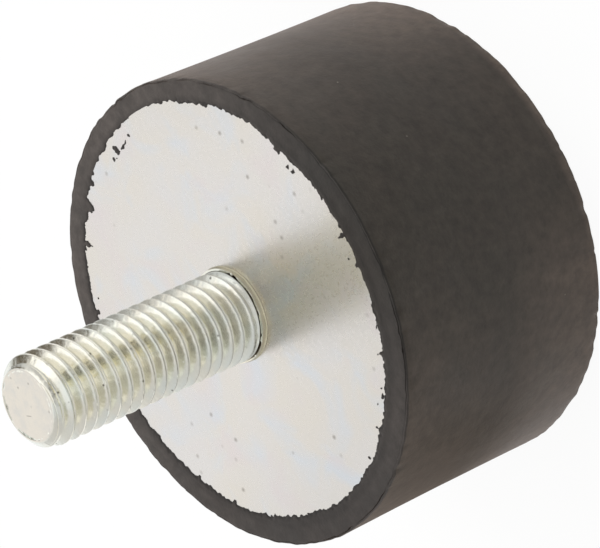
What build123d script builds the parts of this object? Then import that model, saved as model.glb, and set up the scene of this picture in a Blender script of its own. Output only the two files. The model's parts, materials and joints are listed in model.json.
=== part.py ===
"""Bobbin vibration mount, 50 mm across, with an M10 stud and a tapped M10 bush.

A rubber body is moulded round two steel plates and bonded to them. The front plate
carries a headed stud and the rear plate a blind tapped bush, so that the two ends are
joined by rubber alone. Sizes are in millimetres. The rear face lies on Z = 0, and the
stud points along +Z.
"""

import math
import os

from build123d import *

# Rubber body
body_diameter = 50.0
body_height = 27.7  # 28 less what the rubber shrinks
waist_depth = 0.1  # how far the bonded side draws in at mid height

# Plates, one at each end
rubber_skin = 1.8  # rubber that covers a plate's rim
plate_thickness = 2.0
plate_bevel = 0.4  # bevel on the outer edge of a plate's visible face
lip_thickness = 0.1  # rubber lip that laps over the edge of a plate's visible face
lip_reach = 1.0  # how far the lip reaches in from the plate's rim

# Stud
stud_length = 27.3  # from the front plate's face to the tip
crest_diameter = 9.75  # over the crests of a rolled M10 thread
tip_chamfer = 0.7
tip_rounding = 1.8  # where the chamfer runs into the tip's flat end
shank_diameter = 10.2  # plain shank, pressed into the front plate
shank_stand = 0.5  # plain shank that shows above the front plate
head_diameter = 17.0
head_thickness = 3.0

# Bush
tap_drill_diameter = 8.5  # for an M10 thread
tapped_depth = 10.0
drill_point_angle = 118.0
mouth_diameter = 10.4  # countersink at the bush's mouth
bush_end_wall = 1.5  # metal beyond the tip of the drill point
bush_diameter = 17.0
neck_diameter = 14.0  # neck that is pressed into the rear plate

# Shared edges and fits
insert_chamfer = 0.5  # edges of the head and the bush, deep in the rubber
press_clearance = 0.0  # between a pressed shank or neck and its plate, on the radius

body_radius = body_diameter / 2
plate_radius = body_radius - rubber_skin
window_radius = plate_radius - lip_reach
front_plate_face = body_height - lip_thickness
front_plate_back = front_plate_face - plate_thickness
rear_plate_face = lip_thickness
rear_plate_back = rear_plate_face + plate_thickness
drill_point_depth = tap_drill_diameter / 2 / math.tan(math.radians(drill_point_angle / 2))
bush_length = tapped_depth + drill_point_depth + bush_end_wall

# The stud: head behind the plate, plain shank through it, thread at crest size beyond it.
with BuildPart() as stud:
    with BuildSketch(Plane.XY.offset(front_plate_back - head_thickness)):
        Circle(head_diameter / 2)
    extrude(amount=head_thickness)
    chamfer(stud.edges().sort_by(Axis.Z)[0], insert_chamfer)
    with BuildSketch(Plane.XY.offset(front_plate_back)):
        Circle(shank_diameter / 2)
    extrude(amount=plate_thickness + shank_stand)
    with BuildSketch(Plane.XY.offset(front_plate_face + shank_stand)):
        Circle(crest_diameter / 2)
    extrude(amount=stud_length - shank_stand)
    chamfer(stud.edges().sort_by(Axis.Z)[-1], tip_chamfer)
    fillet(stud.edges().sort_by(Axis.Z)[-1], tip_rounding)
stud.part.label = "stud"

# The bush before it is drilled, which is also the space that it takes in the rubber.
with BuildPart() as bush_blank:
    with BuildSketch(Plane.XY.offset(rear_plate_face)):
        Circle(neck_diameter / 2)
    extrude(amount=plate_thickness)
    with BuildSketch(Plane.XY.offset(rear_plate_back)):
        Circle(bush_diameter / 2)
    extrude(amount=bush_length - plate_thickness)
    chamfer(bush_blank.edges().sort_by(Axis.Z)[-1], insert_chamfer)

# The bush: a blind tapping hole from the rear, with a drill point and a countersink.
with BuildPart() as rear_bush:
    add(bush_blank.part)
    with BuildSketch(Plane((0, 0, rear_plate_face), x_dir=(1, 0, 0), z_dir=(0, -1, 0))):
        with BuildLine():
            Polyline(
                (0, 0),
                (mouth_diameter / 2, 0),
                (tap_drill_diameter / 2, (mouth_diameter - tap_drill_diameter) / 2),
                (tap_drill_diameter / 2, tapped_depth),
                (0, tapped_depth + drill_point_depth),
                close=True,
            )
        make_face()
    revolve(axis=Axis.Z, mode=Mode.SUBTRACT)
rear_bush.part.label = "rear_bush"

# The front plate: a disc, bevelled round its visible face, with a hole for the shank.
with BuildPart() as front_plate:
    with BuildSketch(Plane.XY.offset(front_plate_back)):
        Circle(plate_radius)
    extrude(amount=plate_thickness)
    chamfer(front_plate.edges().sort_by(Axis.Z)[-1], plate_bevel)
    Hole(shank_diameter / 2 + press_clearance)
front_plate.part.label = "front_plate"

# The rear plate: the same disc turned over, with a hole for the bush's neck.
with BuildPart() as rear_plate:
    with BuildSketch(Plane.XY.offset(rear_plate_face)):
        Circle(plate_radius)
    extrude(amount=plate_thickness)
    chamfer(rear_plate.edges().sort_by(Axis.Z)[0], plate_bevel)
    Hole(neck_diameter / 2 + press_clearance)
rear_plate.part.label = "rear_plate"

# The rubber body: a drawn-in cylinder with a lip round each end, moulded round everything
# that it is bonded to.
with BuildPart() as rubber_body:
    with BuildSketch(Plane.XZ):
        with BuildLine():
            rear_lip = Polyline(
                (0, lip_thickness),
                (window_radius, lip_thickness),
                (window_radius, 0),
                (body_radius, 0),
            )
            side = ThreePointArc(
                rear_lip @ 1,
                (body_radius - waist_depth, body_height / 2),
                (body_radius, body_height),
            )
            Polyline(
                side @ 1,
                (window_radius, body_height),
                (window_radius, body_height - lip_thickness),
                (0, body_height - lip_thickness),
                rear_lip @ 0,
            )
        make_face()
    revolve(axis=Axis.Z)
    for insert in (front_plate, stud, rear_plate, bush_blank):
        add(insert.part, mode=Mode.SUBTRACT)
rubber_body.part.label = "rubber_body"

os.makedirs("parts", exist_ok=True)
export_step(rubber_body.part, "parts/rubber_body.step")
export_step(front_plate.part, "parts/front_plate.step")
export_step(stud.part, "parts/stud.step")
export_step(rear_plate.part, "parts/rear_plate.step")
export_step(rear_bush.part, "parts/rear_bush.step")
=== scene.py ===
"""Looks of a bobbin vibration mount: moulded rubber between two zinc-plated plates.

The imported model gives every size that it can. The rubber body, the stud and the tapped
bush are modelled here in full, with the flash, the torn lips and the real threads that
the plain solids leave out. The two plates keep their own meshes and get a finish. Lengths
in this script are in millimetres until a mesh is made, and Z runs along the stud.
"""

import json
import math

import bmesh
import bpy
import numpy as np
from mathutils import Matrix, Vector


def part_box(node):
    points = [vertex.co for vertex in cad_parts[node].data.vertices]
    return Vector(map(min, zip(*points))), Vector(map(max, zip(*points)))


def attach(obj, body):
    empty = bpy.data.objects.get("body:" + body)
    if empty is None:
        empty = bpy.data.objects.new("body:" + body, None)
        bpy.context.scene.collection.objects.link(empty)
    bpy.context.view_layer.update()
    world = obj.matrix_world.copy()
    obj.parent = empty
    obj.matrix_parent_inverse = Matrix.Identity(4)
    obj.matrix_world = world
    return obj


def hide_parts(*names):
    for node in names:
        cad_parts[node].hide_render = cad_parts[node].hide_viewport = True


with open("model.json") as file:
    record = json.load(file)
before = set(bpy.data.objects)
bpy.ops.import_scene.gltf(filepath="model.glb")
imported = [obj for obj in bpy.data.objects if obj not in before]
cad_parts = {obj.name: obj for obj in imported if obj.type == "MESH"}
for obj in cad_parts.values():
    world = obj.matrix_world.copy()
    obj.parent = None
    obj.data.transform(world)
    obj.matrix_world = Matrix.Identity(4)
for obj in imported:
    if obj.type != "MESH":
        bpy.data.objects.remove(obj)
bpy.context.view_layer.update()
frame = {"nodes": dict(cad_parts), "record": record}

MM = 0.001
FULL_TURN = 2 * math.pi


def box_mm(node):
    """Lowest and highest corner of a CAD node, in millimetres."""
    low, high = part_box(node)
    return low / MM, high / MM


_, body_high = box_mm("rubber_body")
front_plate_low, front_plate_high = box_mm("front_plate")
rear_plate_low, rear_plate_high = box_mm("rear_plate")
stud_low, stud_high = box_mm("stud")
bush_low, bush_high = box_mm("rear_bush")
mounts = {mount["name"]: mount for mount in frame["record"]["mounts"]}

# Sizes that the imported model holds
body_radius = body_high.x
body_height = body_high.z
plate_radius = front_plate_high.x
front_face = front_plate_high.z
front_back = front_plate_low.z
rear_face = rear_plate_low.z
rear_back = rear_plate_high.z
head_radius = stud_high.x
bush_radius = bush_high.x
crest_radius = mounts["stud"]["dims"]["r_mm"]
bore_radius = mounts["rear_thread"]["dims"]["r_mm"]
bore_depth = mounts["rear_thread"]["dims"]["length_mm"]

# Sizes that only the looks need
thread_pitch = 1.5
thread_depth = 0.613 * thread_pitch  # of a metric screw thread
bore_thread_depth = 0.54 * thread_pitch
drill_point = 118  # angle in degrees at the bottom of the bore
thread_lead = 0.24  # share of a turn by which the stud's thread starts late
# Share of a pitch at which the rows of the stud's mesh lie, with the crest at 0.5
thread_half = [0.022, 0.045, 0.0625, 0.08, 0.10, 0.20, 0.30, 0.36, 0.41, 0.455]
thread_phases = [0.0, *(0.5 - s for s in reversed(thread_half)), 0.5, *(0.5 + s for s in thread_half)]
nick_count = 110  # small knocks in the stud's crests
# Where the stud's tip has kept a burr: angle and half the span in degrees
tip_burrs = [(85, 20), (140, 22), (-20, 8)]
# Where the crevice inside the stud's collar gapes: angle, extra width in millimetres and
# half the span in degrees
crevice_openings = [
    (-8, 0.24, 11), (-44, 0.30, 8), (-76, 0.17, 9), (-99, 0.20, 4), (-148, 0.24, 20),
    (150, 0.15, 12), (95, 0.20, 15), (40, 0.18, 9),
]
shank_radius = 5.1
collar_height = 0.66  # staked collar at the foot of the thread
tip_flat_radius = 3.68
# The bevel that cuts the first turns of the thread short: depth below the tip, and radius
tip_bevel = [(1.30, crest_radius), (1.00, 4.79), (0.75, 4.62), (0.50, 4.39), (0.25, 4.13), (0.08, 3.92)]
neck_radius = 7.0
mouth_radius = 5.2
insert_chamfer = 0.5
plate_bevel = 0.4
lip_outer = plate_radius - plate_bevel  # where the plate's flat face ends
lip_join = plate_radius + 0.2  # where the torn lip meets the even ring round it
lip_inner = 20.2  # nothing of the lip reaches further in than this
lip_middle = 22.0  # about where the lip is torn
film_edge = 0.025  # thickness of the film where it is torn
film_gap = 0.003  # between the film and the plate under it
film_full = body_height - front_face - 0.004  # its thickness where it meets the rim
# Points round each turned piece
body_columns = 990
stud_columns = 200
bush_columns = 144


# --- Shared helpers -----------------------------------------------------------------


def linear(hex_colour):
    """An sRGB hex colour as linear RGBA."""
    channels = [int(hex_colour[i : i + 2], 16) / 255 for i in (1, 3, 5)]
    return [c / 12.92 if c <= 0.04045 else ((c + 0.055) / 1.055) ** 2.4 for c in channels] + [1.0]


def add(tree, kind, inputs=(), **settings):
    """Adds a node of a kind to a tree, with its settings and its inputs.

    Inputs run in the node's own order, or go by name or number. Each is a value, an output
    that feeds it, or a node whose first live output feeds it.
    """
    node = tree.nodes.new(kind)
    for key, value in settings.items():
        setattr(node, key, value)
    for key, value in inputs.items() if isinstance(inputs, dict) else enumerate(inputs):
        if isinstance(value, bpy.types.Node):
            value = next(output for output in value.outputs if output.enabled)
        if isinstance(value, bpy.types.NodeSocket):
            tree.links.new(value, node.inputs[key])
        else:
            node.inputs[key].default_value = value
    return node


def mesh_object(name, points, faces, smooth_angle=None):
    """A new object from points in millimetres and faces, with its doubles merged."""
    mesh = bpy.data.meshes.new(name)
    mesh.from_pydata([tuple(p) for p in np.asarray(points, float) * MM], [], faces)
    shell = bmesh.new()
    shell.from_mesh(mesh)
    bmesh.ops.remove_doubles(shell, verts=shell.verts, dist=1e-7)
    shell.to_mesh(mesh)
    shell.free()
    mesh.validate()
    if smooth_angle is not None:
        mesh.shade_smooth()
        mesh.set_sharp_from_angle(angle=math.radians(smooth_angle))
    piece = bpy.data.objects.new(name, mesh)
    bpy.context.scene.collection.objects.link(piece)
    return piece


def densify(profile, step):
    """The profile's points, with more between them so that no gap is over the step."""
    points = [profile[0]]
    for start, end in zip(profile, profile[1:]):
        count = max(1, math.ceil(math.dist(start, end) / step))
        for k in range(1, count + 1):
            points.append(tuple(a + (b - a) * k / count for a, b in zip(start, end)))
    return points


def ring(radius, height, angles):
    """Points once round the axis; radius and height are numbers, or one to an angle."""
    radius, height = np.broadcast_to(radius, angles.shape), np.broadcast_to(height, angles.shape)
    return np.stack([radius * np.cos(angles), radius * np.sin(angles), height], 1)


def ring_faces(rows, columns, start=0):
    """Quads between rows of points that each run once round, outwards for rising rows."""
    faces = []
    for base in range(start, start + (rows - 1) * columns, columns):
        for k in range(columns):
            after = (k + 1) % columns
            faces.append((base + k, base + after, base + columns + after, base + columns + k))
    return faces


def close_ends(points, faces, columns, last, low, high):
    """Closes a turned shape on the axis, below its first row of points and above its last."""
    foot = len(points)
    points += [(0, 0, low), (0, 0, high)]
    for k in range(columns):
        after = (k + 1) % columns
        faces.append((foot, after, k))
        faces.append((foot + 1, last + k, last + after))


def lathe(name, profile, columns, smooth_angle):
    """A closed turned shape from a profile of (radius, height), both ends on the axis."""
    angles = np.arange(columns) * FULL_TURN / columns
    rings = [(r, z) for r, z in profile if r > 0]
    points = [(r * math.cos(a), r * math.sin(a), z) for r, z in rings for a in angles]
    faces = ring_faces(len(rings), columns)
    close_ends(points, faces, columns, (len(rings) - 1) * columns, profile[0][1], profile[-1][1])
    return mesh_object(name, points, faces, smooth_angle)


def off_heading(angles, heading):
    """How far angles lie from a heading in degrees, up to half a turn either way."""
    return (angles - math.radians(heading) + math.pi) % FULL_TURN - math.pi


def ripple(angles, seed, fewest, most, fall=1.0):
    """Seeded waves round a circle, with a spread of 1: from fewest to most to a turn."""
    draw = np.random.RandomState(seed)
    total = np.zeros_like(angles)
    power = 0.0
    for waves in range(fewest, most + 1):
        height = waves**-fall
        total += height * np.sin(waves * angles + draw.uniform(0, FULL_TURN))
        power += height**2 / 2
    return total / math.sqrt(power)


def patchwork(x, y, size, seed, waves=40):
    """A seeded uneven field over a face, with a spread of 1 and patches of about a size."""
    draw = np.random.RandomState(seed)
    total = np.zeros_like(x)
    for _ in range(waves):
        heading = draw.uniform(0, FULL_TURN)
        turns = FULL_TURN / (2 * size * draw.uniform(0.6, 1.8))
        phase = draw.uniform(0, FULL_TURN)
        total += np.sin(turns * (x * math.cos(heading) + y * math.sin(heading)) + phase)
    return total / math.sqrt(waves / 2)


# --- Threads ------------------------------------------------------------------------


def thread_tree():
    """Geometry Nodes that roll a right-hand metric thread into a finely turned surface.

    Side is 1 for a thread on the outside of a shaft and -1 for one in a bore. The groove
    follows the height and the angle of each point, and fades in over the run-out. Its
    flanks stand 30 degrees off the groove's middle, and its crest is an eighth of a pitch.
    """
    tree = bpy.data.node_groups.new("rolled_thread", "GeometryNodeTree")
    sizes = ("Side", "Land Radius", "Pitch", "Depth", "Lead", "Start", "End", "Run-out")
    sizes += ("Crest Rounding", "Root Rounding")
    tree.interface.new_socket("Geometry", in_out="OUTPUT", socket_type="NodeSocketGeometry")
    for name, kind in [("Geometry",) * 2, *((size, "Float") for size in sizes), ("Material",) * 2]:
        tree.interface.new_socket(name, in_out="INPUT", socket_type=f"NodeSocket{kind}")
    given = add(tree, "NodeGroupInput").outputs
    place = add(tree, "GeometryNodeInputPosition")
    x, y, z = add(tree, "ShaderNodeSeparateXYZ", (place,)).outputs
    values = {"x": x, "y": y, "z": z, **{size: given[size] for size in sizes}}
    steps = [
        ("x squared", "MULTIPLY", "x", "x"),
        ("y squared", "MULTIPLY", "y", "y"),
        ("squares", "ADD", "x squared", "y squared"),
        ("radius", "SQRT", "squares"),
        ("angle", "ARCTAN2", "y", "x"),
        ("turn", "DIVIDE", "angle", FULL_TURN),
        ("turns up", "DIVIDE", "z", "Pitch"),
        ("turns from start", "SUBTRACT", "turns up", "Lead"),
        ("helix", "SUBTRACT", "turns from start", "turn"),
        ("phase", "FRACT", "helix"),
        ("off middle", "SUBTRACT", "phase", 0.5),
        ("share off crest", "ABSOLUTE", "off middle"),
        ("off crest", "MULTIPLY", "share off crest", "Pitch"),
        ("flank", "MULTIPLY", "off crest", math.sqrt(3)),
        ("crest", "MULTIPLY", "Pitch", math.sqrt(3) / 16),
        ("sharp groove", "SUBTRACT", "flank", "crest"),
        ("eased groove", "SMOOTH_MAX", "sharp groove", 0.0, "Crest Rounding"),
        ("groove", "SMOOTH_MIN", "eased groove", "Depth", "Root Rounding"),
        ("over start", "SUBTRACT", "z", "Start"),
        ("under end", "SUBTRACT", "End", "z"),
        ("from ends", "MINIMUM", "over start", "under end"),
        ("share of run-out", "DIVIDE", "from ends", "Run-out"),
        ("fade", "SMOOTHSTEP", "share of run-out"),
        ("faded groove", "MULTIPLY", "groove", "fade"),
        ("signed groove", "MULTIPLY", "faded groove", "Side"),
        ("wall", "SUBTRACT", "Land Radius", "signed groove"),
        ("signed radius", "MULTIPLY", "radius", "Side"),
        ("signed wall", "MULTIPLY", "wall", "Side"),
        ("cut", "MINIMUM", "signed radius", "signed wall"),
        ("cut radius", "MULTIPLY", "cut", "Side"),
        ("safe radius", "MAXIMUM", "radius", 1e-6),
        ("share", "DIVIDE", "cut radius", "safe radius"),
        ("new x", "MULTIPLY", "x", "share"),
        ("new y", "MULTIPLY", "y", "share"),
        ("in thread", "GREATER_THAN", "fade", 0.0),
    ]
    for name, operation, *sources in steps:
        inputs = [values.get(source, source) for source in sources]
        if operation == "SMOOTHSTEP":
            values[name] = add(tree, "ShaderNodeMapRange", inputs, interpolation_type=operation)
        else:
            values[name] = add(tree, "ShaderNodeMath", inputs, operation=operation)
    moved = add(tree, "ShaderNodeCombineXYZ", (values["new x"], values["new y"], z))
    cut = {"Geometry": given["Geometry"], "Selection": values["in thread"], "Position": moved}
    real = add(tree, "GeometryNodeRealizeInstances", (add(tree, "GeometryNodeSetPosition", cut),))
    finish = {"Geometry": real, "Material": given["Material"]}
    add(tree, "NodeGroupOutput", (add(tree, "GeometryNodeSetMaterial", finish),))
    return tree


def bake_nodes(piece, tree, values):
    """Runs a Geometry Nodes tree on a piece with its inputs set by name, and keeps the mesh."""
    modifier = piece.modifiers.new(tree.name, "NODES")
    modifier.node_group = tree
    for item in tree.interface.items_tree:
        if item.in_out == "INPUT" and item.name in values:
            modifier[item.identifier] = values[item.name]
    graph = bpy.context.evaluated_depsgraph_get()
    baked = bpy.data.meshes.new_from_object(piece.evaluated_get(graph), depsgraph=graph)
    old = piece.data
    piece.modifiers.remove(modifier)
    piece.data = baked
    bpy.data.meshes.remove(old)
    baked.name = piece.name
    return piece


def thread_rows(low, high, angles):
    """Rings of points on the crest cylinder that climb with the thread, cut off at two heights.

    The rows lie where the thread's profile turns, so that its crests come out crisp.
    """
    turn = angles / FULL_TURN
    first = math.floor(low / thread_pitch - thread_lead) - 2
    last = math.ceil(high / thread_pitch - thread_lead) + 1
    rows = []
    for k in range(first, last):
        for phase in thread_phases:
            z = thread_pitch * (k + phase + turn + thread_lead)
            rows.append(np.clip(z, low, high))
    return rows


def make_stud(tree, finish):
    """The headed stud: shank with a staked collar, rolled thread, bevelled and rounded tip."""
    tip = stud_high.z
    collar_top = front_face + collar_height
    thread_start = collar_top + 0.10
    thread_end = tip - tip_bevel[-1][0]
    angles = np.arange(stud_columns) * FULL_TURN / stud_columns
    points, faces = [], []

    # The collar's inner lip stands off the thread by a crevice that opens and closes
    opening = 0.02 + 0.02 * np.abs(ripple(angles, 41, 5, 40, 0.4))
    for heading, width, half_span in crevice_openings:
        off = off_heading(angles, heading)
        opening = opening + width * np.exp(-np.abs(off / math.radians(half_span)) ** 3)
    wobble = 0.02 * ripple(angles, 43, 3, 30, 0.6)
    wall = crest_radius - 0.12
    lip = wall + opening
    collar_side = shank_radius + wobble
    crevice_floor = collar_top - 0.11 - 0.3 * opening
    plain = [
        (head_radius - insert_chamfer, stud_low.z),
        (head_radius, stud_low.z + insert_chamfer),
        (head_radius, front_back),
        (shank_radius, front_back),
        (shank_radius, front_face),
        (collar_side + 0.06, front_face + 0.01),
        (collar_side + 0.06, front_face + 0.07),
        (collar_side, front_face + 0.12),
        (collar_side - 0.04, collar_top - 0.22),
        (collar_side - 0.02, collar_top - 0.10),
        (collar_side - 0.04, collar_top - 0.03),
        (np.maximum(lip + 0.03, collar_side - 0.10), collar_top + 0.5 * wobble),
        (lip, collar_top - 0.04),
        (wall + 0.75 * opening, crevice_floor),
        (wall, crevice_floor),
        (wall, collar_top + 0.04),
        (crest_radius - 0.03, thread_start + 0.02),
        (crest_radius, thread_start + 0.06),
    ]
    bevel_heights = [tip - below for below, _ in tip_bevel]
    bevel_radii = [radius for _, radius in tip_bevel]
    # Cropping has left a burr in places round the flat end
    burr = np.clip(0.25 + 0.5 * ripple(angles, 45, 3, 60, 0.5), 0, 1)
    for heading, half_span in tip_burrs:
        off = off_heading(angles, heading)
        burr = burr + 1.2 * np.exp(-np.abs(off / math.radians(half_span)) ** 3)
    bevel = [
        (bevel_radii[-1], thread_end),
        (tip_flat_radius + 0.14, tip - 0.035),
        (tip_flat_radius + 0.06, tip - 0.01),
        (tip_flat_radius, tip),
        (tip_flat_radius - 0.04, tip),
        (tip_flat_radius - 0.07 - 0.01 * burr, tip - 0.06 * burr),
        (tip_flat_radius - 0.13 - 0.04 * burr, tip - 0.05 * burr),
        (tip_flat_radius - 0.24 - 0.04 * burr, tip - 0.004),
        (3.0, tip - 0.004),
        (2.0, tip),
        (1.0, tip),
    ]

    def take(rings):
        start = len(points)
        for r, z in rings:
            points.extend(ring(r, z, angles))
        faces.extend(ring_faces(len(rings), stud_columns, start))

    take(plain)
    take(bevel)
    start = len(points)
    rows = thread_rows(thread_start + 0.06, thread_end, angles)
    for z in rows:
        points.extend(ring(np.interp(z, bevel_heights, bevel_radii), z, angles))
    # A row that has gone once round ends one pitch up, where the row of the next turn starts
    climb = len(thread_phases)
    for row in range(len(rows) - 1 - climb):
        for k in range(stud_columns):
            base = start + row * stud_columns
            after = base + (k + 1 if k + 1 < stud_columns else climb * stud_columns)
            faces.append((base + k, after, after + stud_columns, base + k + stud_columns))
    last = (len(plain) + len(bevel) - 1) * stud_columns
    close_ends(points, faces, stud_columns, last, stud_low.z, tip)
    stud = mesh_object("threaded_stud", points, faces, 35)
    bake_nodes(
        stud,
        tree,
        {
            "Side": 1.0,
            "Land Radius": crest_radius * MM,
            "Pitch": thread_pitch * MM,
            "Depth": thread_depth * MM,
            "Lead": thread_lead,
            "Start": (thread_start - 0.1) * MM,
            "End": (tip + 0.9) * MM,
            "Run-out": 1.0 * MM,
            "Crest Rounding": 0.06 * MM,
            "Root Rounding": 0.3 * MM,
            "Material": finish,
        },
    )
    wear_thread(stud, thread_start, thread_end)
    stud.data.set_sharp_from_angle(angle=math.radians(48))
    return stud


def wear_thread(stud, low, high):
    """Rolls the crests a little uneven, and knocks a few nicks into them."""
    points = np.empty(len(stud.data.vertices) * 3)
    stud.data.vertices.foreach_get("co", points)
    points = points.reshape(-1, 3) / MM
    radius = np.hypot(points[:, 0], points[:, 1])
    angle = np.arctan2(points[:, 1], points[:, 0])
    around, along = angle * crest_radius, points[:, 2]
    on_thread = (along > low + 0.1) & (along < high) & (radius > crest_radius - thread_depth - 0.1)
    # Rolling leaves the crests of the first turns split along their middle
    phase = (along / thread_pitch - thread_lead - angle / FULL_TURN) % 1
    first_turns = np.clip((along - (high - 3.2)) / 1.2, 0, 1)
    split = 0.09 * np.clip(1 - np.abs(phase - 0.5) / 0.02, 0, 1) * first_turns
    uneven = 0.012 * patchwork(around, along, 0.55, 61) + 0.009 * patchwork(around, along, 0.25, 62)
    sink = np.abs(uneven) + split
    draw = np.random.RandomState(63)
    for _ in range(nick_count):
        spot, height = draw.uniform(-math.pi, math.pi), draw.uniform(low, high)
        size, depth = draw.uniform(0.10, 0.30), draw.uniform(0.03, 0.12)
        off = (angle - spot + math.pi) % FULL_TURN - math.pi
        near = np.hypot(off * crest_radius, along - height) / size
        sink = sink + depth * np.exp(-(near**4)) * (radius > crest_radius - 0.3)
    share = np.where(on_thread, 1 - np.clip(sink, 0, 0.12) / radius.clip(0.1), 1.0)
    points[:, :2] *= share[:, None]
    stud.data.vertices.foreach_set("co", (points * MM).ravel())
    stud.data.update()


def make_bush(tree, finish):
    """The blind tapped bush: neck in the plate, body in the rubber, thread in the bore."""
    mouth = bush_low.z
    countersink = mouth_radius - bore_radius
    bore_end = mouth + countersink + bore_depth
    point_end = bore_end + bore_radius / math.tan(math.radians(drill_point / 2))
    bore = densify([(bore_radius, bore_end), (bore_radius, mouth + countersink)], thread_pitch / 20)
    profile = (
        [(0, point_end)]
        + bore
        + [(mouth_radius, mouth), (neck_radius, mouth), (neck_radius, rear_back)]
        + [(bush_radius, rear_back), (bush_radius, bush_high.z - insert_chamfer)]
        + [(bush_radius - insert_chamfer, bush_high.z), (0, bush_high.z)]
    )
    bush = lathe("tapped_bush", profile, bush_columns, 35)
    bake_nodes(
        bush,
        tree,
        {
            "Side": -1.0,
            "Land Radius": bore_radius * MM,
            "Pitch": thread_pitch * MM,
            "Depth": bore_thread_depth * MM,
            "Lead": 0.0,
            "Start": (mouth - thread_pitch) * MM,
            "End": bore_end * MM,
            "Run-out": 0.8 * MM,
            "Crest Rounding": 0.2 * MM,
            "Root Rounding": 0.2 * MM,
            "Material": finish,
        },
    )
    bush.data.set_sharp_from_angle(angle=math.radians(50))
    return bush


# --- Rubber body --------------------------------------------------------------------

# Radius of the lip's torn edge at every 30 degrees, in millimetres
front_edge = [22.75, 22.74, 22.52, 22.35, 22.12, 22.05, 21.82, 21.84, 21.74, 21.66, 21.90, 22.36]
rear_edge = [21.90, 22.10, 22.30, 22.45, 22.40, 22.25, 22.05, 21.95, 22.05, 22.20, 22.10, 21.95]
# Tongues of rubber that run in over a plate: angle in degrees, how far in their tip lies
# from the lip's own edge and half their width, both in millimetres. A negative reach is a
# notch, where the plate shows further out.
front_tongues = [
    (74.6, 0.45, 0.35), (54.6, 1.15, 0.22), (46.6, 0.55, 0.60), (43.0, 1.20, 0.60),
    (40.0, -0.25, 0.45), (35.4, 0.60, 0.35), (32.4, 0.25, 0.20), (22.3, 0.38, 0.55),
    (344.0, 0.25, 0.22), (333.0, 0.10, 0.20), (307.0, 0.55, 0.50), (277.2, 1.20, 0.13),
    (268.5, 0.40, 0.25), (244.2, 0.35, 0.20), (221.5, 0.20, 0.25), (196.0, 0.22, 0.20),
    (182.0, 0.15, 0.12), (169.0, 0.20, 0.25), (160.6, 0.30, 0.14), (156.7, 0.25, 0.30),
    (144.8, 0.35, 0.30), (130.4, 0.35, 0.30), (113.0, 0.20, 0.40),
]
# Scraps of rubber film left on the front plate: angle in degrees, radius, half length and
# half width in millimetres, and the turn of the long side from the radial direction.
front_scraps = [
    (22.0, 20.9, 0.20, 0.15, 0), (20.6, 20.75, 0.12, 0.09, 0), (18.6, 21.4, 0.60, 0.24, 20),
    (17.9, 20.9, 0.20, 0.12, 60), (15.5, 20.95, 0.36, 0.24, 75), (13.7, 21.1, 0.42, 0.15, 100),
    (10.5, 21.3, 0.24, 0.19, 80), (70.4, 21.55, 0.20, 0.13, 40), (299.7, 21.0, 0.30, 0.18, 20),
    (301.9, 20.9, 0.24, 0.15, 70), (271.0, 20.8, 0.15, 0.10, 0), (210.6, 21.5, 0.18, 0.12, 50),
    (221.3, 21.3, 0.20, 0.12, 10), (228.9, 20.9, 0.14, 0.12, 0), (231.7, 21.4, 0.30, 0.16, 70),
    (234.2, 21.3, 0.16, 0.10, 20), (243.7, 21.0, 0.15, 0.12, 0), (252.0, 21.5, 0.45, 0.10, 85),
    (256.5, 21.6, 0.50, 0.12, 95),
]
rear_tongues = [(20, 0.5, 0.4), (95, 0.9, 0.3), (160, 0.4, 0.5), (248, 0.8, 0.3), (310, 0.5, 0.3)]
rear_scraps = [(30, 21.2, 0.3, 0.15, 40), (170, 21.3, 0.2, 0.14, 0), (262, 21.0, 0.3, 0.12, 70)]


def lip_field(radii, angles, edge_radii, tongues, scraps, seed):
    """How far inside the rubber each point of a polar grid lies; below 0 the plate is bare."""
    r, a = np.meshgrid(radii, angles, indexing="ij")
    x, y = r * np.cos(a), r * np.sin(a)
    x = x + 0.06 * patchwork(x, y, 0.5, seed) + 0.045 * patchwork(x, y, 0.2, seed + 1)
    y = y + 0.06 * patchwork(x, y, 0.5, seed + 2) + 0.045 * patchwork(x, y, 0.2, seed + 3)
    torn_r, torn_a = np.hypot(x, y), np.arctan2(y, x)
    twelfths = torn_a % FULL_TURN / (FULL_TURN / 12)
    before = np.floor(twelfths).astype(int) % 12
    share = 0.5 - 0.5 * np.cos(math.pi * (twelfths % 1))
    trend = np.array(edge_radii)
    edge = trend[before] * (1 - share) + trend[(before + 1) % 12] * share
    edge = edge + 0.06 * ripple(torn_a, seed + 4, 6, 40, 0.6)
    for heading, reach, half_width in tongues:
        around = off_heading(torn_a, heading) * lip_middle
        edge = edge - reach * np.exp(-np.abs(around / half_width) ** 3)
    field = torn_r - edge
    for heading, radius, half_length, half_width, turn in scraps:
        away_x = x - radius * math.cos(math.radians(heading))
        away_y = y - radius * math.sin(math.radians(heading))
        lie = math.radians(heading + turn)
        along = away_x * math.cos(lie) + away_y * math.sin(lie)
        across = away_y * math.cos(lie) - away_x * math.sin(lie)
        scrap = half_width * (1 - np.hypot(along / half_length, across / half_width))
        field = np.maximum(field, scrap)
    field = np.where(r < lip_inner + 0.15, -0.2, field)
    return np.where(r > lip_outer - 0.08, np.maximum(field, 0.03), field)


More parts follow.
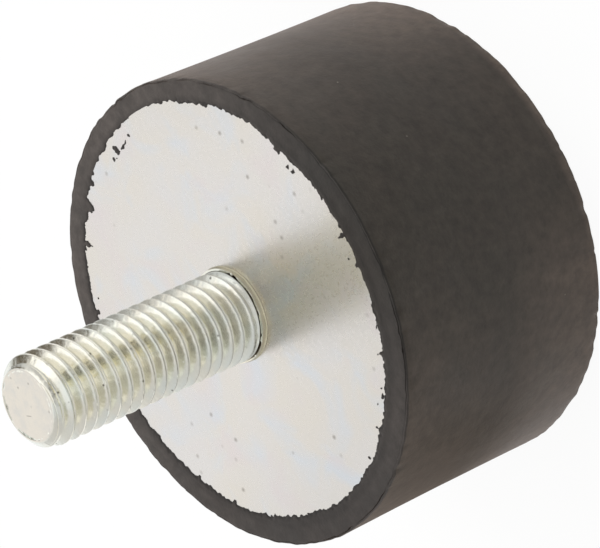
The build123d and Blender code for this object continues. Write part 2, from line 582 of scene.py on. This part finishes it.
def film_sheet(radii, angles, field, face, outward):
    """A thin closed film over the part of a polar grid where the field is above 0.

    Outward is 1 for the front face and -1 for the rear. The film's border is cut through
    each cell, so that it doesn't follow the grid's steps. Its underside stops where the
    plate's bevel starts, and its top goes on to the end of the grid.
    """
    points, faces, found = [], [], {}
    step = angles[1] - angles[0]
    columns = len(angles)

    def point(side, key, r, a, value):
        if (side, key) not in found:
            share = min(max(value / 0.5, 0.0), 1.0)
            swell = film_edge + (film_full - film_edge) * share * share * (3 - 2 * share)
            found[side, key] = len(points)
            height = face + outward * (swell if side == "top" else film_gap)
            points.append((r * math.cos(a), r * math.sin(a), height))
        return found[side, key]

    for i in range(len(radii) - 1):
        has_underside = radii[i + 1] <= lip_outer + 1e-6
        for j in range(columns):
            after = (j + 1) % columns
            corners = ((i, j, 0), (i + 1, j, 0), (i + 1, after, 1), (i, after, 1))
            values = [field[c[0], c[1]] for c in corners]
            if max(values) <= 0:
                continue
            outline = []
            for k in range(4):
                here, there = corners[k], corners[(k + 1) % 4]
                v, w = values[k], values[(k + 1) % 4]
                r, a = radii[here[0]], angles[j] + here[2] * step
                if v > 0:
                    outline.append((here[:2], r, a, v))
                if (v > 0) != (w > 0):
                    t = v / (v - w)
                    r_cut = r + (radii[there[0]] - r) * t
                    a_cut = a + (there[2] - here[2]) * step * t
                    outline.append((tuple(sorted((here[:2], there[:2]))), r_cut, a_cut, 0.0))
            above = [point("top", *corner) for corner in outline]
            faces.append(above[::outward])
            if not has_underside:
                continue
            below = [point("under", *corner) for corner in outline]
            faces.append(below[::-outward])
            for k in range(len(outline)):
                m = (k + 1) % len(outline)
                if outline[k][3] == 0.0 and outline[m][3] == 0.0:
                    faces.append([above[m], above[k], below[k], below[m]][::outward])
    return points, faces


def make_rubber_body(finish):
    """The moulded body with its torn lips and rim flash, hollow where the metal sits."""
    angles = np.arange(body_columns) * FULL_TURN / body_columns
    points, faces = [], []

    def take(more_points, more_faces):
        start = len(points)
        points.extend(tuple(p) for p in more_points)
        faces.extend([start + k for k in face] for face in more_faces)

    def take_rings(rings):
        rows = [ring(r, z, angles) for r, z in rings]
        take(np.concatenate(rows), ring_faces(len(rows), body_columns))

    # Both lips, front and rear
    lip_radii = np.concatenate(
        [np.arange(lip_inner, lip_outer - 0.05, 0.1), [lip_outer], [lip_outer + 0.2, lip_join]]
    )
    front_field = lip_field(lip_radii, angles, front_edge, front_tongues, front_scraps, 11)
    take(*film_sheet(lip_radii, angles, front_field, front_face, 1))
    rear_field = lip_field(lip_radii, angles, rear_edge, rear_tongues, rear_scraps, 31)
    take(*film_sheet(lip_radii, angles, rear_field, rear_face, -1))

    # Rim: a rubbed edge with a fine crease just inside it, on the line where the mould closed
    def rim(outward, seed):
        """Radius of the rim, and the radius, half width and depth of its crease."""
        far_side = 0.5 + 0.5 * np.clip(1.6 * outward * np.sin(angles), -1, 1)
        flash = (0.03 + 0.03 * far_side) * ripple(angles, seed, 3, 110, 0.45)
        torn = np.maximum(ripple(angles, seed + 1, 8, 90, 0.2) - 1.5, 0) * 0.14
        edge = np.clip(body_radius - 0.05 + flash - torn, body_radius - 0.4, body_radius)
        crease = edge - 0.20 + 0.035 * ripple(angles, seed + 2, 5, 90, 0.3)
        pits = np.maximum(ripple(angles, seed + 4, 9, 120, 0.1) - 1.3, 0)
        half = 0.035 + 0.012 * np.abs(ripple(angles, seed + 3, 6, 70, 0.3)) + 0.03 * pits
        strength = np.clip(0.8 + 0.5 * ripple(angles, seed + 5, 3, 60, 0.4), 0.1, 2.2) + 1.2 * pits
        # The mould closed tight along one stretch
        tight = np.exp(-((off_heading(angles, -76) / math.radians(17)) ** 4))
        strength = strength * (1 - 0.85 * far_side) * (1 - 0.85 * tight)
        return edge, crease, half, 0.02 + 0.10 * strength

    wall_radius = body_radius - 0.02

    def wall(z):
        """Radius of the side, which draws in towards mid height."""
        share = (z - body_height / 2) / (body_height / 2)
        return wall_radius - 0.08 * (1 - share**2)

    def rim_rings(face_height, outward, seed):
        edge, crease, half, depth = rim(outward, seed)
        inset = outward * 1.0
        flat = face_height - inset * 0.004
        return [
            (lip_join, flat),
            (23.8, flat),
            (crease - 3.2 * half, flat),
            (crease - 1.4 * half, flat - inset * 0.01),
            (crease - 0.5 * half, flat - inset * depth * 0.8),
            (crease, flat - inset * depth),
            (crease + 0.5 * half, flat - inset * depth * 0.7),
            (crease + 1.5 * half, flat - inset * 0.02),
            (edge - 0.05, flat - inset * 0.03),
            (edge, face_height - inset * 0.12),
            (edge - 0.005, face_height - inset * 0.28),
            (0.5 * edge + 0.5 * wall(face_height), face_height - inset * 0.50),
        ]

    heights = np.linspace(body_height - 0.9, 0.9, 26)
    side = [(wall(z), z) for z in heights]
    front_rim = rim_rings(body_height, 1, 51)
    rear_rim = rim_rings(0.0, -1, 71)
    take_rings((front_rim + side + rear_rim[::-1])[::-1])

    # Walls of the hollows that the plates, the stud's head and the bush fill
    for face, back, inward, insert_radius, insert_end in (
        (front_face, front_back, -1, head_radius, stud_low.z),
        (rear_face, rear_back, 1, bush_radius, bush_high.z),
    ):
        hollow = [
            (lip_outer, face - inward * film_gap),
            (plate_radius, face + inward * plate_bevel),
            (plate_radius, back),
            (insert_radius, back),
            (insert_radius, insert_end - inward * insert_chamfer),
            (insert_radius - insert_chamfer, insert_end),
            (0.01, insert_end),
        ]
        take_rings(hollow[::-inward])

    # Faint unevenness of a moulded surface, on everything that shows
    cloud = np.array(points)
    radius = np.hypot(cloud[:, 0], cloud[:, 1])
    turn = np.arctan2(cloud[:, 1], cloud[:, 0]) * body_radius
    on_side = (radius > body_radius - 0.3) & (cloud[:, 2] > 0.5) & (cloud[:, 2] < body_height - 0.5)
    swell = 0.005 * patchwork(turn[on_side], cloud[on_side, 2], 4.0, 91)
    share = 1 + np.clip(swell, -0.02, 0.015) / radius[on_side]
    cloud[on_side, :2] *= share[:, None]
    shown = (cloud[:, 2] > body_height - 0.05) & (radius > 22.6) & (radius < body_radius - 0.5)
    dent = 0.008 * patchwork(cloud[shown, 0], cloud[shown, 1], 0.9, 95) - 0.008
    cloud[shown, 2] = np.minimum(cloud[shown, 2] + dent, body_height)
    body = mesh_object("moulded_rubber", cloud, faces, 42)
    body.data.materials.append(finish)
    return body


# --- Finishes -----------------------------------------------------------------------


def per_metre(size_mm):
    """The scale of a pattern whose features are about this many millimetres."""
    return 1 / (size_mm * MM)


def new_finish(name):
    """An empty material and its node tree."""
    finish = bpy.data.materials.new(name)
    finish.use_nodes = True
    finish.node_tree.nodes.clear()
    return finish, finish.node_tree


def place_on_piece(tree):
    """The place that a piece's patterns follow, its distance from the axis and its height."""
    place = add(tree, "ShaderNodeTexCoord").outputs["Object"]
    flat = add(tree, "ShaderNodeVectorMath", (place, (1.0, 1.0, 0.0)), operation="MULTIPLY")
    radius = add(tree, "ShaderNodeVectorMath", (flat,), operation="LENGTH")
    height = add(tree, "ShaderNodeSeparateXYZ", (place,)).outputs["Z"]
    return place, radius, height


def moulded_rubber():
    """Natural rubber filled with carbon black, moulded hot and knocked out of its mould.

    It gives the eye a near-black brown with a soft sheen, cloudy where wax has bloomed to
    the surface, with faint wiped streaks, dust specks and the mould's fine texture.
    """
    finish, tree = new_finish("moulded_natural_rubber")
    place, radius, height = place_on_piece(tree)
    # Streaks a few millimetres wide and some centimetres long, slanting round the side
    slant = add(
        tree,
        "ShaderNodeMapping",
        {"Vector": place, "Rotation": (0.0, math.radians(28), 0.0), "Scale": (1.0, 1.0, 0.12)},
    )
    cloud, tint, streak, grit, mottle = [
        add(
            tree,
            "ShaderNodeTexNoise",
            {"Vector": where, "Scale": per_metre(size), "Detail": detail, "Roughness": roughness},
        )
        for where, size, detail, roughness in (
            (place, 9, 5.0, 0.6),
            (place, 5, 3.0, 0.5),
            (slant, 2.2, 4.0, 0.65),
            (place, 0.35, 4.0, 0.7),
            (place, 1.3, 6.0, 0.65),
        )
    ]
    speck = add(tree, "ShaderNodeTexVoronoi", {"Vector": place, "Scale": per_metre(1.3)}).outputs
    speck_pick = add(tree, "ShaderNodeSeparateColor", (speck["Color"],)).outputs
    # How far each point lies toward the end face's side of painted light, its side of painted
    # shade, and the side of the front rim and of the rear one left darker as painted shade
    toward_painted_light, toward_shade, toward_darker_front, toward_darker_rear = [
        add(tree, "ShaderNodeVectorMath", (place, side), operation="DOT_PRODUCT")
        for side in ((0.67, 0.74, 0.0), (-0.94, 0.34, 0.0), (0.22, -0.97, 0.0), (0.26, -0.966, 0.0))
    ]
    outer = body_radius * MM
    lip_height = body_height - front_face
    share = {
        name: add(tree, "ShaderNodeMapRange", row)
        for name, row in {
            "speck": (speck["Distance"], 0.10, 0.05),
            "bloom": (cloud, 0.45, 0.75, 0.0, 0.35),
            "streak": (streak, 0.56, 0.80, 0.0, 0.22),
            # Dust, rubbing and painted light lighten the rubber near both rims, the painted light
            # standing in for light that reaches the wall there, but for one side, which is left
            # darker as painted shade right up to the rubbed edge
            "near rear": (height, 14 * MM, 0.0, 0.0, 0.8),
            "near front": (height, 13 * MM, body_height * MM, 0.0, 0.5),
            "greyed rear": (toward_darker_rear, 0.95 * outer, 0.80 * outer, 0.12),
            "greyed front": (toward_darker_front, outer, 0.55 * outer),
            "rubbed edge": (height, 1.5 * MM, 0.4 * MM, 0.0, 0.8),
            "patches": (cloud, 0.3, 0.6, 0.5),
            # The end face has painted light on one side and painted shade on another. Its torn lip
            # is darker than the rim, and darkest along the tear, where the film is thin and low and
            # a line of painted shade runs.
            "mottle": (mottle, 0.3, 0.7, 0.66, 1.34),
            "brown side": (toward_painted_light, -0.8 * outer, 0.8 * outer, 0.75, 1.24),
            "shaded side": (toward_shade, 0.55 * outer, 0.90 * outer, 1.0, 0.70),
            "lip": (radius, 22.8 * MM, 23.3 * MM, 0.68),
            "thin film": (
                height,
                (front_face + 0.40 * lip_height) * MM,
                (front_face + 0.70 * lip_height) * MM,
                0.35,
            ),
            "end": (height, (front_face - 0.2) * MM, (front_face - 0.05) * MM),
            "roughness": (cloud, 0.3, 0.7, 0.46, 0.6),
        }.items()
    }
    on_lip = add(tree, "ShaderNodeMath", (radius, lip_outer * MM), operation="LESS_THAN")
    share["tear"] = add(tree, "ShaderNodeMix", {0: on_lip, 2: 1.0, 3: share["thin film"]})
    share["speck pick"] = speck_pick[0]
    for name, operation, *sources in (
        ("some specks", "GREATER_THAN", "speck pick", 0.95),
        ("specks", "MULTIPLY", "speck", "some specks"),
        ("rear dust", "MULTIPLY", "near rear", "greyed rear"),
        ("rear rim", "MAXIMUM", "rear dust", "rubbed edge"),
        ("front rim", "MULTIPLY", "near front", "greyed front"),
        ("rims", "MAXIMUM", "rear rim", "front rim"),
        ("dust", "MULTIPLY", "rims", "patches"),
        ("end sides", "MULTIPLY", "brown side", "shaded side"),
        ("end rings", "MULTIPLY", "end sides", "lip"),
        ("end tone", "MULTIPLY", "end rings", "tear"),
    ):
        inputs = [share.get(source, source) for source in sources]
        share[name] = add(tree, "ShaderNodeMath", inputs, operation=operation)
    face_tone = add(tree, "ShaderNodeMix", {0: share["end"], 2: 1.0, 3: share["end tone"]})
    tone = add(tree, "ShaderNodeMath", (face_tone, share["mottle"]), operation="MULTIPLY")
    browns = {0: tint, 6: linear("#302923"), 7: linear("#2b2923")}
    colour = add(tree, "ShaderNodeMix", browns, data_type="RGBA")
    # The last layer lightens the rims, as dust and painted light
    for layer, paint in (("bloom", "#3d3833"), ("streak", "#4a453f"), ("dust", "#62564d")):
        layers = {0: share[layer], 6: colour, 7: linear(paint)}
        colour = add(tree, "ShaderNodeMix", layers, data_type="RGBA")
    # The end face is a cooler black than the side
    casts = {0: share["end"], 4: (1.0, 1.0, 1.0), 5: (0.80, 0.88, 1.0)}
    cast = add(tree, "ShaderNodeMix", casts, data_type="VECTOR")
    cooled = add(tree, "ShaderNodeVectorMath", (colour, cast), operation="MULTIPLY")
    toned = add(tree, "ShaderNodeVectorMath", {"Vector": cooled, "Scale": tone}, operation="SCALE")
    specked = {0: share["specks"], 6: toned, 7: linear("#756f67")}
    colour = add(tree, "ShaderNodeMix", specked, data_type="RGBA")
    coarse = add(tree, "ShaderNodeBump", {"Strength": 0.5, "Distance": 0.10 * MM, "Height": mottle})
    bump = add(
        tree,
        "ShaderNodeBump",
        {"Strength": 0.65, "Distance": 0.03 * MM, "Height": grit, "Normal": coarse},
    )
    shader = add(
        tree,
        "ShaderNodeBsdfPrincipled",
        {
            "Base Color": colour,
            "Roughness": share["roughness"],
            "IOR": 1.52,
            "Specular IOR Level": 0.3,
            "Sheen Weight": 0.195,
            "Sheen Roughness": 0.5,
            "Sheen Tint": linear("#dcbfae"),
            "Normal": bump,
        },
    )
    add(tree, "ShaderNodeOutputMaterial", (shader,))
    return finish


def zinc_plated_sheet():
    """Steel sheet, zinc plated over its rolled grain and passivated clear blue.

    It gives the eye a bright, slightly milky metal with broad cream, blue and pink clouds,
    a faint one-way grain and fine pits, and painted shade darkening it towards one side.
    """
    finish, tree = new_finish("zinc_plated_sheet")
    place = add(tree, "ShaderNodeTexCoord").outputs["Object"]
    rolled = add(tree, "ShaderNodeMapping", {"Vector": place, "Scale": (1.0, 0.06, 1.0)})
    warm, cool, grain, fine = [
        add(
            tree,
            "ShaderNodeTexNoise",
            {
                "Vector": where,
                "Scale": per_metre(size),
                "Detail": detail,
                "Roughness": roughness,
                "Distortion": distortion,
            },
        )
        for where, size, detail, roughness, distortion in (
            (place, 8, 3.0, 0.5, 0.0),
            (place, 6, 3.0, 0.5, 0.6),
            (rolled, 0.25, 3.0, 0.5, 0.0),
            (place, 0.5, 5.0, 0.65, 0.0),
        )
    ]
    cool_parts = add(tree, "ShaderNodeSeparateColor", (cool.outputs["Color"],)).outputs
    pit = add(tree, "ShaderNodeTexVoronoi", {"Vector": place, "Scale": per_metre(1.7)}).outputs
    pit_pick = add(tree, "ShaderNodeSeparateColor", (pit["Color"],)).outputs
    # The plate is darker towards one side: painted shade
    painted_shade_side = (-0.87, -0.50, 0.0)
    toward_painted_shade = add(tree, "ShaderNodeVectorMath", (place, painted_shade_side), operation="DOT_PRODUCT")
    share = {
        name: add(tree, "ShaderNodeMapRange", row)
        for name, row in {
            "warm": (warm, 0.35, 0.65),
            "blue": (cool_parts[1], 0.5, 0.7, 0.0, 0.8),
            "pink": (cool_parts[0], 0.52, 0.72, 0.0, 0.7),
            "pit": (pit["Distance"], 0.20, 0.04),
            "some pits": (pit_pick[0], 0.72, 1.0, 0.0, 0.75),
            "held": (toward_painted_shade, 6 * MM, 20 * MM, 1.0, 0.93),
            "roughness": (fine, 0.3, 0.7, 0.24, 0.34),
        }.items()
    }
    pits = add(tree, "ShaderNodeMath", (share["pit"], share["some pits"]), operation="MULTIPLY")
    whites = {0: share["warm"], 6: linear("#dcd9d6"), 7: linear("#ddd8d0")}
    colour = add(tree, "ShaderNodeMix", whites, data_type="RGBA")
    for layer, paint in ((share["blue"], "#d4d9df"), (share["pink"], "#dcd4d3"), (pits, "#8a847c")):
        layers = {0: layer, 6: colour, 7: linear(paint)}
        colour = add(tree, "ShaderNodeMix", layers, data_type="RGBA")
    # Painted shade darkens the colour towards that side
    shading = {"Vector": colour, "Scale": share["held"]}
    shaded_colour = add(tree, "ShaderNodeVectorMath", shading, operation="SCALE")
    relief = add(tree, "ShaderNodeMath", (grain, fine), operation="ADD")
    bump = add(tree, "ShaderNodeBump", {"Strength": 0.12, "Distance": 0.01 * MM, "Height": relief})
    shader = add(
        tree,
        "ShaderNodeBsdfPrincipled",
        {"Base Color": shaded_colour, "Metallic": 1.0, "Roughness": share["roughness"], "Normal": bump},
    )
    add(tree, "ShaderNodeOutputMaterial", (shader,))
    return finish


def zinc_plated_thread():
    """Cold-headed steel with a rolled thread, zinc plated and passivated a little yellow.

    It gives the eye a bright metal with pale yellow and blue tints, creamier in the roots of
    the thread, olive on the collar, greyer on the cropped end, and specked with dirt.
    """
    finish, tree = new_finish("zinc_plated_rolled_thread")
    place, radius, height = place_on_piece(tree)
    tint, fine, blotch = [
        add(
            tree,
            "ShaderNodeTexNoise",
            {
                "Vector": place,
                "Scale": per_metre(size),
                "Detail": detail,
                "Roughness": roughness,
                "Distortion": distortion,
            },
        )
        for size, detail, roughness, distortion in (
            (5, 2.0, 0.5, 0.5),
            (0.4, 5.0, 0.7, 0.0),
            (1.6, 3.0, 0.5, 0.0),
        )
    ]
    # A short scratch across the flat end
    scratch_place = add(
        tree,
        "ShaderNodeMapping",
        {
            "Vector": place,
            "Location": (-1.0 * MM, 0.5 * MM, stud_high.z * MM),
            "Rotation": (0.0, 0.0, math.radians(72)),
            "Scale": (0.5 * MM, 0.07 * MM, 0.1 * MM),
        },
        vector_type="TEXTURE",
    )
    off_scratch = add(tree, "ShaderNodeVectorMath", (scratch_place,), operation="LENGTH")
    speck = add(tree, "ShaderNodeTexVoronoi", {"Vector": place, "Scale": per_metre(1.1)}).outputs
    speck_pick = add(tree, "ShaderNodeSeparateColor", (speck["Color"],)).outputs
    tip, collar_top = stud_high.z, front_face + collar_height
    share = {
        name: add(tree, "ShaderNodeMapRange", row)
        for name, row in {
            "tint": (tint, 0.4, 0.6),
            "root": (
                radius,
                (crest_radius - 0.1 * thread_depth) * MM,
                (crest_radius - thread_depth) * MM,
                0.0,
                0.6,
            ),
            "below tip": (height, (tip - 0.3) * MM, (tip - 0.9) * MM),
            "cropped end": (height, (tip - 0.05) * MM, (tip - 0.005) * MM),
            "blotch": (blotch, 0.45, 0.65),
            "scratch": (off_scratch, 1.1, 0.6, 0.0, 0.45),
            "speck": (speck["Distance"], 0.16, 0.06),
            "some specks": (speck_pick[0], 0.66, 0.84, 0.0, 0.85),
            # The collar is tinted olive, and the crevice inside it is darkened as grime and painted shade
            "collar": (height, (collar_top + 0.02) * MM, (collar_top - 0.12) * MM, 0.0, 0.8),
            "down crevice": (height, (collar_top - 0.01) * MM, (collar_top - 0.07) * MM),
            "inside lip": (radius, (shank_radius - 0.10) * MM, (shank_radius - 0.20) * MM),
            "roughness": (fine, 0.3, 0.7, 0.14, 0.28),
        }.items()
    }
    roots, specks, grime_and_shade = [
        add(tree, "ShaderNodeMath", (share[here], share[there]), operation="MULTIPLY")
        for here, there in (
            ("root", "below tip"),
            ("speck", "some specks"),
            ("down crevice", "inside lip"),
        )
    ]
    tints = {0: share["tint"], 6: linear("#f3f0e4"), 7: linear("#edf0e9")}
    colour = add(tree, "ShaderNodeMix", tints, data_type="RGBA")
    greys = {0: share["blotch"], 6: linear("#e0dacf"), 7: linear("#d9d5cd")}
    cropped = add(tree, "ShaderNodeMix", greys, data_type="RGBA")
    for layer, paint in (
        (roots, linear("#f8f5e6")),
        (share["cropped end"], cropped),
        (share["scratch"], linear("#77746c")),
        (specks, linear("#5f5a4d")),
        (share["collar"], linear("#d8cfb0")),
        # Grime and painted shade darken the crevice inside the collar
        (grime_and_shade, linear("#6a6152")),
    ):
        colour = add(tree, "ShaderNodeMix", {0: layer, 6: colour, 7: paint}, data_type="RGBA")
    bump = add(tree, "ShaderNodeBump", {"Strength": 0.5, "Distance": 0.022 * MM, "Height": fine})
    shader = add(
        tree,
        "ShaderNodeBsdfPrincipled",
        {"Base Color": colour, "Metallic": 1.0, "Roughness": share["roughness"], "Normal": bump},
    )
    add(tree, "ShaderNodeOutputMaterial", (shader,))
    return finish


def studio_floor():
    """A white floor: it shows as white, but lights the mount as matt paint and keeps its shadow."""
    finish, tree = new_finish("white_studio_floor")
    ray = add(tree, "ShaderNodeLightPath").outputs
    shown = ray["Is Camera Ray"]
    for other in ("Is Glossy Ray", "Is Transmission Ray"):
        shown = add(tree, "ShaderNodeMath", (shown, ray[other]), operation="MAXIMUM")
    share = add(tree, "ShaderNodeMath", (shown, 0.9), operation="MULTIPLY")
    paint = add(tree, "ShaderNodeBsdfDiffuse", {"Color": linear("#f4f4f2")})
    white = add(tree, "ShaderNodeEmission", {"Color": linear("#ffffff"), "Strength": 1.02})
    mixed = add(tree, "ShaderNodeMixShader", (share, paint, white))
    add(tree, "ShaderNodeOutputMaterial", (mixed,))
    return finish


# --- Pieces -------------------------------------------------------------------------

rubber = moulded_rubber()
sheet = zinc_plated_sheet()
threaded = zinc_plated_thread()
roll_thread = thread_tree()

stud = make_stud(roll_thread, threaded)
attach(stud, "root")
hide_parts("stud")

bush = make_bush(roll_thread, threaded)
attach(bush, "root")
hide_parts("rear_bush")

rubber_body = make_rubber_body(rubber)
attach(rubber_body, "root")
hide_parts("rubber_body")

for node in ("front_plate", "rear_plate"):
    for material_slot in frame["nodes"][node].material_slots:
        material_slot.material = sheet


# --- Studio -------------------------------------------------------------------------

bpy.ops.mesh.primitive_plane_add(size=6.0, location=(0, 0, -0.00005))
floor = bpy.context.object
floor.name = "floor"
floor.data.materials.append(studio_floor())

world = bpy.data.worlds.new("studio")
bpy.context.scene.world = world
world.use_nodes = True
sky = world.node_tree
sky.nodes.clear()
heading = add(sky, "ShaderNodeTexCoord").outputs["Generated"]
axes = add(sky, "ShaderNodeSeparateXYZ", (heading,)).outputs
sideways = add(sky, "ShaderNodeMath", (axes["X"],), operation="ABSOLUTE")
gap_heading, key_heading = (0.57, 0.75, 0.33), (0.511, 0.108, 0.852)
toward_gap, toward_key = [
    add(sky, "ShaderNodeVectorMath", (heading, aim), operation="DOT_PRODUCT")
    for aim in (gap_heading, key_heading)
]
# White sheets stand behind and over the mount, and a tongue of them reaches out over the
# side that it is looked at from. That side is open otherwise, and darker to the right.
light = {
    name: add(sky, "ShaderNodeMapRange", row, interpolation_type=easing)
    for name, easing, row in (
        ("over", "SMOOTHSTEP", (axes["Y"], -0.42, -0.10)),
        ("tongue side", "SMOOTHSTEP", (sideways, 0.30, 0.18)),
        ("tongue end", "SMOOTHSTEP", (axes["Y"], -0.64, -0.52)),
        ("open side", "LINEAR", (axes["X"], -0.5, 0.3, 0.68, 0.55)),
        ("sheet level", "LINEAR", (axes["Y"], -0.2, 0.6, 0.92, 1.05)),
        ("left fall", "SMOOTHSTEP", (axes["X"], -0.2, -0.65, 1.0, 0.62)),
        ("right fall", "SMOOTHSTEP", (axes["X"], 0.35, 0.80, 1.0, 0.66)),
        # The gap between two sheets, far round to the right
        ("gap", "SMOOTHSTEP", (toward_gap, 0.93, 0.99, 1.0, 0.5)),
        # The soft box that lights the mount, as its soft-edged reflection
        ("key glow", "SMOOTHSTEP", (toward_key, 0.89, 0.98, 0.0, 0.4)),
    )
}
for name, operation, *sources in (
    ("tongue", "MULTIPLY", "tongue side", "tongue end"),
    ("sheet share", "MAXIMUM", "over", "tongue"),
    ("side fall", "MULTIPLY", "left fall", "right fall"),
    ("side level", "MULTIPLY", "sheet level", "side fall"),
    ("sheet", "MULTIPLY", "side level", "gap"),
):
    light[name] = add(sky, "ShaderNodeMath", [light[k] for k in sources], operation=operation)
levels = add(sky, "ShaderNodeMix", {0: light["sheet share"], 2: light["open side"], 3: light["sheet"]})
sheets = add(sky, "ShaderNodeMath", (levels, light["key glow"]), operation="ADD")
seen = add(sky, "ShaderNodeLightPath").outputs["Is Camera Ray"]
shown = add(sky, "ShaderNodeMix", {0: seen, 6: sheets, 7: linear("#ffffff")}, data_type="RGBA")
backdrop = add(sky, "ShaderNodeBackground", (shown, 1.0))
add(sky, "ShaderNodeOutputWorld", (backdrop,))


def lamp(name, place, size, power):
    """A square soft box that faces the mount."""
    light = bpy.data.lights.new(name, "AREA")
    light.shape = "SQUARE"
    light.size = size
    light.energy = power
    piece = bpy.data.objects.new(name, light)
    piece.visible_glossy = False
    middle = Vector((0, 0, body_height * MM / 2))
    piece.matrix_world = Matrix.Translation(place) @ (
        (middle - Vector(place)).to_track_quat("-Z", "Y").to_matrix().to_4x4()
    )
    bpy.context.scene.collection.objects.link(piece)


lamp("key_soft_box", (0.46, 0.17, 0.64), 0.34, 1.2)
lamp("soft_box_left", (-0.70, 0.20, 0.20), 0.40, 0.14)
lamp("soft_box_right", (0.70, 0.25, 0.10), 0.40, 0.24)


def arc_row(distance, first, last, height):
    """Points in millimetres on an arc round the mount, every degree from first to last."""
    turns = [math.radians(a) for a in range(first, last + 1)]
    return [(distance * math.cos(a), distance * math.sin(a), height) for a in turns]


def screen(name, low_row, high_row, stops):
    """A glowing screen seen only in reflections, painting them in tones set by heading."""
    points = [Vector(p) * MM for p in low_row + high_row]
    count = len(low_row)
    faces = [(k, k + 1, count + k + 1, count + k) for k in range(count - 1)]
    mesh = bpy.data.meshes.new(name)
    mesh.from_pydata(points, [], faces)
    reflection_glow, tree = new_finish(f"paper_{name}")
    place = add(tree, "ShaderNodeTexCoord").outputs["Object"]
    turn = add(tree, "ShaderNodeTexGradient", {"Vector": place}, gradient_type="RADIAL")
    tone = add(tree, "ShaderNodeValToRGB", (turn.outputs["Fac"],))
    ramp = tone.color_ramp
    ramp.interpolation = "EASE"
    ramp.elements.remove(ramp.elements[1])
    for k, (degrees, colour) in enumerate(stops):
        share = degrees / 360 + 0.5
        stop = ramp.elements[0] if k == 0 else ramp.elements.new(share)
        stop.position = share
        stop.color = linear(colour)
    glow = add(tree, "ShaderNodeEmission", {"Color": tone})
    add(tree, "ShaderNodeOutputMaterial", (glow,))
    mesh.materials.append(reflection_glow)
    piece = bpy.data.objects.new(name, mesh)
    piece.visible_camera = False
    piece.visible_diffuse = False
    piece.visible_shadow = False
    bpy.context.scene.collection.objects.link(piece)


# Glowing screens, seen only in reflections, paint reflections into the stud and the rubber.
# Two close to the tip show in its bevel and in the upper thread as painted dark glints. Three
# stand on the floor and show in the roots of the thread, the furthest one straw-coloured with
# a dark middle. A low one by the rim hides them from the lowest turns, and a grey sheet
# beside the rubber paints a darker reflection into its lower side.
screen("tip_screen", [(34, 49, 59), (42, 24, 82)], [(34, 49, 78), (42, 24, 102)], [(0, "#5c5343")])
bevel_tones = [(-122, "#d8d8d4"), (-108, "#5c605e"), (-70, "#4e524f"), (-58, "#8e908c"), (-44, "#d0d0cc")]
side_tones = [(-178, "#f4f4f2"), (-162, "#c8c8c2"), (-126, "#bfbfba"), (-108, "#f8f6f0")]
front_tones = [(-107, "#c6c5bf"), (-90, "#b2b0a4"), (-78, "#b8b5a8"), (-64, "#cfccc0"), (-50, "#d6d5ce")]
far_tones = [(-92, "#fffaea"), (-80, "#ece0ae"), (-73, "#302c10"), (-55, "#302c10"), (-48, "#efe6c8")]
near_tones = [(-152, "#c4c4bc"), (-128, "#8d8d86"), (-112, "#8d8c84"), (-92, "#a09e94")]
near_tones += [(-72, "#d0cec4"), (-46, "#f4f2ea")]
for name, distance, first, last, low, high, tones in (
    ("bevel_screen", 38, -122, -44, 91, 108, bevel_tones),
    ("side_screen", 60, -178, -108, 0, 50, side_tones),
    ("front_screen", 62, -107, -50, 0, 20, front_tones),
    ("far_screen", 105, -92, -44, 0, 32, far_tones),
    ("near_screen", 33, -152, -46, 24, 31, near_tones),
):
    screen(name, arc_row(distance, first, last, low), arc_row(distance, first, last, high), tones)
screen("floor_sheet", arc_row(32, 95, 200, 0.2), arc_row(62, 95, 200, 0.2), [(0, "#8a857c")])


# --- Camera -------------------------------------------------------------------------

camera = bpy.data.objects.new("camera", bpy.data.cameras.new("camera"))
camera.data.lens = 236
camera.data.sensor_width = 36
camera.data.clip_start = 0.01
camera.data.clip_end = 20
aim = Vector((0.96, 0, 17.56)) * MM
elevation = math.radians(38.2)
distance = 404.5 * MM
stand = aim + distance * Vector((0, -math.cos(elevation), math.sin(elevation)))
tilt = Matrix.Rotation(math.pi / 2 - elevation, 4, "X")
roll = Matrix.Rotation(math.radians(-113.9), 4, "Z")
camera.matrix_world = Matrix.Translation(stand) @ tilt @ roll
bpy.context.scene.collection.objects.link(camera)
bpy.context.scene.camera = camera
bpy.context.scene.view_settings.view_transform = "Standard"
